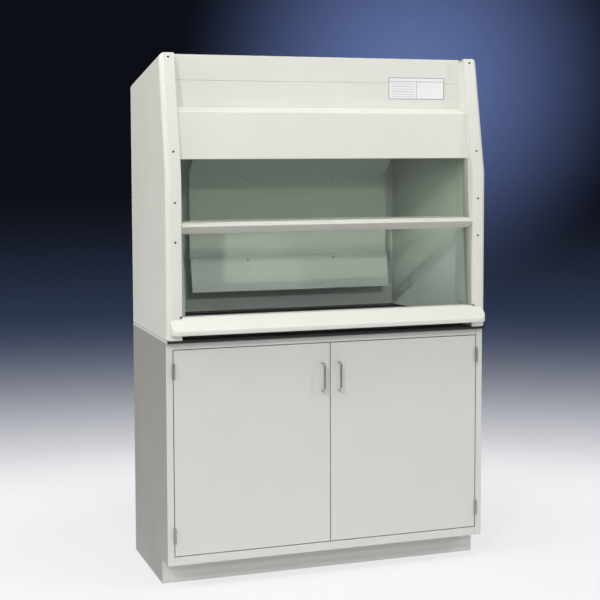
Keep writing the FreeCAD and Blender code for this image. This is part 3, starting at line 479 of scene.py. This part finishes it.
POST_SCREW_OUT, FOOT_SCREW_OUT = 0.022, 0.005
FOOT_SCREW_DROP, MIDDLE_SCREW_RISE = 0.002, 0.011
BEND_TO_SCREW, TOP_TO_SCREW = 0.077, 0.0154
upright = [SILL + (BEND - SILL) / 2 + MIDDLE_SCREW_RISE, (SILL + 4 * BEND) / 5]
leaning = [BEND + BEND_TO_SCREW, TOP - TOP_TO_SCREW]
spots = []
for side in (-1, 1):
    spots.append(((side * (INNER_HALF + FOOT_SCREW_OUT), POST_FRONT, SILL - FOOT_SCREW_DROP), (0, -1, 0)))
    for z in upright:
        spots.append(((side * (INNER_HALF + POST_SCREW_OUT), POST_FRONT, z), (0, -1, 0)))
    for z in leaning:
        y = POST_FRONT + (z - BEND) * POST_SLOPE
        outward = Vector((0, -1, POST_SLOPE)).normalized()
        spots.append(((side * (INNER_HALF + POST_SCREW_OUT), y, z), outward))
post_screws = fasteners("post_screw_heads", screw_head("post_screw", 3.5 * MM, 2.4 * MM), spots, BLACK_OXIDE)
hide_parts("post_screws")

spots = []
for x in (-BAFFLE_SCREW_X, BAFFLE_SCREW_X):
    spots.append(((x, LOWER_BAFFLE_FRONT, LOWER_BAFFLE_SCREW), (0, -1, 0)))
    spots.append(((x, UPPER_BAFFLE_FRONT, UPPER_BAFFLE_SCREW), (0, -1, 0)))
baffle_screw = screw_head("baffle_screw", 4.5 * MM, 2.4 * MM)
fasteners("baffle_screw_heads", baffle_screw, spots, STAINLESS)

# Each rear sheet has a column of rivets up both sides and a row along its foot and its top
ROW_PITCH, BACKWARD = 0.1362, (0, 1, 0)
HOOD_RIVETS = {"x": 0.545, "foot": 0.915, "top": 1.790, "pitch": 0.108, "count": 9}
CABINET_RIVETS = {"x": 0.572, "foot": 0.060, "top": 0.840, "pitch": 0.130, "count": 7}
spots = []
for sheet in (HOOD_RIVETS, CABINET_RIVETS):
    for side in (-1, 1):
        spots += [((side * sheet["x"], REAR, sheet["foot"] + sheet["pitch"] * n), BACKWARD)
                  for n in range(sheet["count"])]
    spots += [((x * ROW_PITCH, REAR, sheet[row]), BACKWARD) for x in range(-3, 4) for row in ("foot", "top")]
rear_rivet = rivet_head("rear_rivet", 4 * MM, 0.1 * MM)
fasteners("rear_rivets", rear_rivet, spots, STAINLESS)

collar_low, collar_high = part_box("exhaust_collar")
collar = (collar_low + collar_high) / 2
COLLAR_CIRCLE, COLLAR_SHEET, COLLAR_RIVETS = 0.1126, 0.002, 8
spots = []
for n in range(COLLAR_RIVETS):
    t = math.pi * (2 * n + 1) / COLLAR_RIVETS
    across, back = COLLAR_CIRCLE * math.cos(t), collar.y + COLLAR_CIRCLE * math.sin(t)
    spots.append(((across, back, collar_low.z + COLLAR_SHEET), (0, 0, 1)))
collar_rivet = rivet_head("collar_rivet", 5 * MM, 1.6 * MM)
fasteners("collar_rivets", collar_rivet, spots, STAINLESS)


# Sealant beads along the foot of the chamber

def bead_tree():
    """A round bead of a given radius along a line."""
    tree = bpy.data.node_groups.new("sealant_bead", "GeometryNodeTree")
    for label, kind in (("Geometry", "NodeSocketGeometry"), ("Radius", "NodeSocketFloat"),
                        ("Finish", "NodeSocketMaterial")):
        tree.interface.new_socket(name=label, in_out="INPUT", socket_type=kind)
    tree.interface.new_socket(name="Geometry", in_out="OUTPUT", socket_type="NodeSocketGeometry")
    given = add(tree, "NodeGroupInput").outputs
    line = add(tree, "GeometryNodeMeshToCurve", {"Mesh": given["Geometry"]})
    section = add(tree, "GeometryNodeCurvePrimitiveCircle", {"Resolution": 12, "Radius": given["Radius"]})
    tube = add(tree, "GeometryNodeCurveToMesh", {"Curve": line.outputs["Curve"],
                                                 "Profile Curve": section.outputs["Curve"],
                                                 "Fill Caps": True})
    real = add(tree, "GeometryNodeRealizeInstances", {"Geometry": tube.outputs["Mesh"]})
    done = add(tree, "GeometryNodeSetMaterial", {"Geometry": real.outputs["Geometry"],
                                                 "Material": given["Finish"]})
    add(tree, "NodeGroupOutput", {"Geometry": done.outputs["Geometry"]})
    return tree


BEADS = bead_tree()


def beads(name, runs, radius):
    """Sealant along each run of points."""
    spots, edges = [], []
    for run in runs:
        first = len(spots)
        spots += run
        edges += [(n, n + 1) for n in range(first, first + len(run) - 1)]
    mesh = bpy.data.meshes.new(name)
    mesh.from_pydata(spots, edges, [])
    piece = new_piece(name, mesh)
    set_inputs(piece, BEADS, {"Radius": radius, "Finish": SEALANT})
    piece.data = plain_mesh(piece)
    piece.modifiers.clear()
    for face in piece.data.polygons:
        face.use_smooth = True
    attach(piece, "hood")


LINER_SHEET = 0.004
runs = []
for side in (-1, 1):
    low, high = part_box(("left" if side < 0 else "right") + "_chamber_wall")
    inner = min(abs(low.x), abs(high.x))
    edge = INNER_HALF - LINER_SHEET
    runs.append([(side * edge, WORK_FRONT, WORK_LEVEL), (side * edge, SPLAY_START, WORK_LEVEL),
                 (side * inner, high.y, WORK_LEVEL)])
runs.append([(-inner, high.y, WORK_LEVEL), (inner, high.y, WORK_LEVEL)])
beads("chamber_sealant", runs, 2.5 * MM)


# Slotted standards that the shelf clips hook into

def standard_tree():
    """Stacks one slotted length of strip into a full standard, from each of the given feet."""
    tree = bpy.data.node_groups.new("shelf_standard", "GeometryNodeTree")
    for label, kind in (("Geometry", "NodeSocketGeometry"), ("Count", "NodeSocketInt"),
                        ("Pitch", "NodeSocketFloat"), ("Length", "NodeSocketObject"),
                        ("Finish", "NodeSocketMaterial")):
        tree.interface.new_socket(name=label, in_out="INPUT", socket_type=kind)
    tree.interface.new_socket(name="Geometry", in_out="OUTPUT", socket_type="NodeSocketGeometry")
    given = add(tree, "NodeGroupInput").outputs
    rise = add(tree, "ShaderNodeCombineXYZ", {"Z": given["Pitch"]})
    column = add(tree, "GeometryNodeMeshLine", {"Count": given["Count"], "Offset": rise.outputs["Vector"]})
    places = add(tree, "GeometryNodeInstanceOnPoints", {"Points": given["Geometry"],
                                                        "Instance": column.outputs["Mesh"]})
    stacked = add(tree, "GeometryNodeRealizeInstances", {"Geometry": places.outputs["Instances"]})
    strip = add(tree, "GeometryNodeObjectInfo", {"Object": given["Length"]})
    lengths = add(tree, "GeometryNodeInstanceOnPoints", {"Points": stacked.outputs["Geometry"],
                                                         "Instance": strip.outputs["Geometry"]})
    real = add(tree, "GeometryNodeRealizeInstances", {"Geometry": lengths.outputs["Instances"]})
    done = add(tree, "GeometryNodeSetMaterial", {"Geometry": real.outputs["Geometry"],
                                                 "Material": given["Finish"]})
    add(tree, "NodeGroupOutput", {"Geometry": done.outputs["Geometry"]})
    return tree


def slotted_length(width, pitch, slot_width, slot_height, thickness):
    """One pitch of strip in the YZ plane with an upright slot through it."""
    bm = bmesh.new()
    ys = (-width / 2, -slot_width / 2, slot_width / 2, width / 2)
    zs = (0, (pitch - slot_height) / 2, (pitch + slot_height) / 2, pitch)
    grid = [[bm.verts.new((0, y, z)) for z in zs] for y in ys]
    for n in range(3):
        for m in range(3):
            if (n, m) != (1, 1):
                bm.faces.new((grid[n][m], grid[n + 1][m], grid[n + 1][m + 1], grid[n][m + 1]))
    faces = bmesh.ops.extrude_face_region(bm, geom=bm.faces[:])["geom"]
    corners = [part for part in faces if isinstance(part, bmesh.types.BMVert)]
    bmesh.ops.translate(bm, vec=(thickness, 0, 0), verts=corners)
    bmesh.ops.recalc_face_normals(bm, faces=bm.faces)
    return mesh_from(bm, "slotted_length")


STANDARD_PITCH, STANDARD_FOOT, STANDARD_COUNT = 0.025, 0.1425, 28
STANDARD_SHEET = 1.2 * MM
STANDARD_WIDTH, STANDARD_SLOT, STANDARD_SLOT_HEIGHT = 0.016, 0.004, 0.013
STANDARD_Y = (-0.156, 0.2645)
STANDARDS = standard_tree()
for side, sign in (("left", -1), ("right", 1)):
    x = -CABINET_HALF if sign < 0 else CABINET_HALF - STANDARD_SHEET
    name = f"{side}_shelf_standards"
    mesh = bpy.data.meshes.new(name)
    mesh.from_pydata([(x, y, STANDARD_FOOT) for y in STANDARD_Y], [], [])
    piece = new_piece(name, mesh)
    strip = new_piece("slotted_length", slotted_length(
        STANDARD_WIDTH, STANDARD_PITCH, STANDARD_SLOT, STANDARD_SLOT_HEIGHT, STANDARD_SHEET))
    set_inputs(piece, STANDARDS, {"Count": STANDARD_COUNT, "Pitch": STANDARD_PITCH, "Length": strip,
                                  "Finish": GALVANISED})
    piece.data = plain_mesh(piece)
    piece.modifiers.clear()
    bpy.data.objects.remove(strip)
    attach(piece, "hood")


# Card on the fascia, bare but for plain rules

def rounded_outline(width, height, radius, steps=6):
    spots = []
    for n, (sx, sz) in enumerate(((1, 1), (-1, 1), (-1, -1), (1, -1))):
        for k in range(steps + 1):
            t = math.pi / 2 * (n + k / steps)
            spots.append((sx * (width / 2 - radius) + radius * math.cos(t),
                          sz * (height / 2 - radius) + radius * math.sin(t)))
    return spots


def plate(name, centre, outer, thickness, material, inner=None):
    """A thin plate, or a frame where there is an inner outline, facing the front."""
    bm = bmesh.new()
    x, y, z = centre

    def loop(outline, depth):
        return [bm.verts.new((x + a, y - depth, z + b)) for a, b in outline]

    def wall(low, high):
        for n in range(len(low)):
            m = (n + 1) % len(low)
            bm.faces.new((low[n], high[n], high[m], low[m]))

    back, front = loop(outer, 0), loop(outer, thickness)
    wall(back, front)
    if inner:
        inner_back, inner_front = loop(inner, 0), loop(inner, thickness)
        wall(inner_front, inner_back)
        wall(front, inner_front)
        wall(inner_back, back)
    else:
        bm.faces.new(back)
        bm.faces.new(front[::-1])
    bmesh.ops.recalc_face_normals(bm, faces=bm.faces)
    piece = new_piece(name, mesh_from(bm, name))
    paint(piece, material)
    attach(piece, "hood")


def ink_bars(name, centre, bars, thickness):
    """Straight printed rules on the card; each bar is its place on the card, its width and its height."""
    bm = bmesh.new()
    for across, above, width, height in bars:
        spot = Matrix.Translation((centre[0] + across, centre[1] - thickness / 2, centre[2] + above))
        bmesh.ops.create_cube(bm, size=1, matrix=spot @ Matrix.Diagonal((width, thickness, height, 1)))
    piece = new_piece(name, mesh_from(bm, name))
    paint(piece, CARD_INK)
    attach(piece, "hood")


CARD_SHEET, INK = 0.5 * MM, 0.15 * MM
CARD_X, CARD_Z = 0.3815, 1.7865
CARD_WIDTH, CARD_HEIGHT, CARD_CORNER = 0.228, 0.083, 0.003
BORDER_IN, BORDER_WIDE = 1 * MM, 2.5 * MM


def card_outline(inset, radius):
    """The card's outline, drawn in from its edge on every side."""
    return rounded_outline(CARD_WIDTH - 2 * inset, CARD_HEIGHT - 2 * inset, radius)


card_centre = Vector((CARD_X, FASCIA_FRONT, CARD_Z))
plate("blank_card", card_centre, card_outline(0, CARD_CORNER), CARD_SHEET, CARD)
card_face = card_centre - Vector((0, CARD_SHEET, 0))
plate("card_border", card_face, card_outline(BORDER_IN, 2 * MM), INK, CARD_INK,
      card_outline(BORDER_IN + BORDER_WIDE, 1.5 * MM))
# One bar near the top, one down the middle, and six lines to its left
BAR, LINE, LINE_PITCH, LINE_LENGTH = 1.6 * MM, 1.0 * MM, 9.5 * MM, 92 * MM
BAR_LENGTH, DIVIDER_LENGTH = 221 * MM, 62 * MM
TOP_BAR, DIVIDER_MIDDLE, FIRST_LINE, LINE_MIDDLE = 25.5 * MM, -6.3 * MM, 16.5 * MM, -55 * MM
ruled = [(0, TOP_BAR, BAR_LENGTH, BAR), (0, DIVIDER_MIDDLE, BAR, DIVIDER_LENGTH)]
ruled += [(LINE_MIDDLE, FIRST_LINE - LINE_PITCH * n, LINE_LENGTH, LINE) for n in range(6)]
ink_bars("card_rules", card_face, ruled, INK)


# Floor, light and camera

FLOOR_HALF, FLOOR_FADE = 6, (0.9, 2.4)
FLOOR_LIFT = 0.65
MIDDLE = (0.1, -0.2, 1.1)


def seen_rays(tree):
    """1 where the background is seen straight, in a reflection or through glass, and 0 for its light."""
    path = add(tree, "ShaderNodeLightPath").outputs
    straight = add(tree, "ShaderNodeMath", {0: path["Is Camera Ray"], 1: path["Is Glossy Ray"]},
                   operation="MAXIMUM")
    through = add(tree, "ShaderNodeMath", {0: straight.outputs["Value"], 1: path["Is Transmission Ray"]},
                  operation="MAXIMUM")
    return through.outputs["Value"]


def stage_floor():
    """A pale floor that keeps the shadow and fades out into the backdrop."""
    bm = bmesh.new()
    bmesh.ops.create_grid(bm, x_segments=1, y_segments=1, size=FLOOR_HALF)
    floor = new_piece("studio_floor", mesh_from(bm, "studio_floor"))
    material, tree = start("matt_floor_paint")
    place = add(tree, "ShaderNodeTexCoord").outputs["Object"]
    cloud = add(tree, "ShaderNodeTexNoise", {"Vector": place, "Scale": 0.7, "Detail": 3.0})
    tone = add(tree, "ShaderNodeMix", {0: cloud.outputs["Fac"], 6: linear("EEF0F2"),
                                       7: linear("EAECEE")}, data_type="RGBA")
    matt = add(tree, "ShaderNodeBsdfPrincipled", {"Base Color": tone.outputs[2], "Roughness": 0.8})
    glow = add(tree, "ShaderNodeEmission", {"Color": linear("FDFDFE"), "Strength": 1.0})
    lift = add(tree, "ShaderNodeMath", {0: seen_rays(tree), 1: FLOOR_LIFT}, operation="MULTIPLY")
    shader = add(tree, "ShaderNodeMixShader", {0: lift.outputs["Value"], 1: matt.outputs["BSDF"],
                                               2: glow.outputs["Emission"]})
    reach = add(tree, "ShaderNodeVectorMath", {0: place}, operation="LENGTH")
    fade = add(tree, "ShaderNodeMapRange", {"Value": reach.outputs["Value"], "From Min": FLOOR_FADE[0],
                                            "From Max": FLOOR_FADE[1]}, interpolation_type="SMOOTHSTEP")
    clear = add(tree, "ShaderNodeBsdfTransparent")
    both = add(tree, "ShaderNodeMixShader", {0: fade.outputs["Result"], 1: shader.outputs["Shader"],
                                             2: clear.outputs["BSDF"]})
    close(tree, both.outputs["Shader"])
    paint(floor, material)


def softbox(name, spot, aim, width, height, power, mirrored=True):
    """An area lamp; one that isn't mirrored leaves no bright square in the panes."""
    lamp = bpy.data.lights.new(name, "AREA")
    lamp.shape = "RECTANGLE"
    lamp.size, lamp.size_y = width, height
    lamp.energy = power
    holder = bpy.data.objects.new(name, lamp)
    scene.collection.objects.link(holder)
    holder.location = spot
    holder.visible_glossy = holder.visible_transmission = mirrored
    holder.rotation_euler = (Vector(aim) - Vector(spot)).to_track_quat("-Z", "Y").to_euler()


def studio_light():
    """A dark blue drape over a white foot, even light from all around, and five lamps."""
    world = bpy.data.worlds.new("studio")
    scene.world = world
    world.use_nodes = True
    tree = world.node_tree
    tree.nodes.clear()
    around = add(tree, "ShaderNodeBackground", {"Color": linear("F4F4F2"), "Strength": 0.5})
    way = add(tree, "ShaderNodeTexCoord").outputs["Generated"]
    split = add(tree, "ShaderNodeSeparateXYZ", {"Vector": way}).outputs
    reach = add(tree, "ShaderNodeVectorMath", {0: way, 1: GLOW_WAY}, operation="DISTANCE")
    glow = add(tree, "ShaderNodeMapRange", {"Value": reach.outputs["Value"], "From Min": GLOW_SPREAD,
                                            "From Max": 0.0}, interpolation_type="SMOOTHSTEP")
    drape = add(tree, "ShaderNodeMix", {0: glow.outputs["Result"], 6: linear("0D0F16"),
                                        7: linear("5D6EA0")}, data_type="RGBA")
    behind = add(tree, "ShaderNodeMapRange", {"Value": split["Y"], "From Min": ROOM_TURN[0],
                                              "From Max": ROOM_TURN[1]}, interpolation_type="SMOOTHSTEP")
    room = add(tree, "ShaderNodeMix", {0: behind.outputs["Result"], 6: drape.outputs[2],
                                       7: linear("868A8F")}, data_type="RGBA")
    hazed = add(tree, "ShaderNodeMapRange", {"Value": split["Z"], "From Min": HAZE_RISE[0],
                                             "From Max": HAZE_RISE[1]}, interpolation_type="SMOOTHSTEP")
    haze = add(tree, "ShaderNodeMix", {0: hazed.outputs["Result"], 6: linear("FDFDFE"),
                                       7: linear("475576")}, data_type="RGBA")
    graded = add(tree, "ShaderNodeMapRange", {"Value": split["Z"], "From Min": DRAPE_RISE[0],
                                              "From Max": DRAPE_RISE[1]}, interpolation_type="SMOOTHSTEP")
    sweep = add(tree, "ShaderNodeMix", {0: graded.outputs["Result"], 6: haze.outputs[2],
                                        7: room.outputs[2]}, data_type="RGBA")
    beyond = add(tree, "ShaderNodeBackground", {"Color": sweep.outputs[2], "Strength": 1.0})
    both = add(tree, "ShaderNodeMixShader", {0: seen_rays(tree), 1: around.outputs["Background"],
                                             2: beyond.outputs["Background"]})
    add(tree, "ShaderNodeOutputWorld", {"Surface": both.outputs["Shader"]})
    softbox("key", (-3.9, -6.0, 4.9), MIDDLE, 0.12, 0.12, 124)
    softbox("right_key", (5.1, -4.4, 4.3), MIDDLE, 0.15, 0.15, 70)
    softbox("fill", (-0.6, -6.2, 3.1), MIDDLE, 0.2, 0.2, 52, mirrored=False)
    softbox("side", (-4.2, -0.8, 3.2), (-0.6, 0, 1.5), 1.6, 1.6, 66)
    softbox("overhead", (0.2, -1.1, 4.6), (0, -0.2, 1.6), 2.4, 1.2, 40)


def photo_camera():
    """The camera that was fitted to the corners of the hood and the cabinet in the photograph."""
    camera = bpy.data.cameras.new("photo_camera")
    camera.sensor_width = 36.0
    camera.lens = 85.851
    camera.shift_x = -0.10
    camera.shift_y = -0.08
    holder = bpy.data.objects.new("photo_camera", camera)
    scene.collection.objects.link(holder)
    holder.location = (-1.7108, -5.1335, 1.5845)
    holder.rotation_euler = (math.radians(90 - 4.375), 0, math.radians(-20.493))
    scene.camera = holder


stage_floor()
studio_light()
photo_camera()
scene.view_settings.view_transform = "Standard"
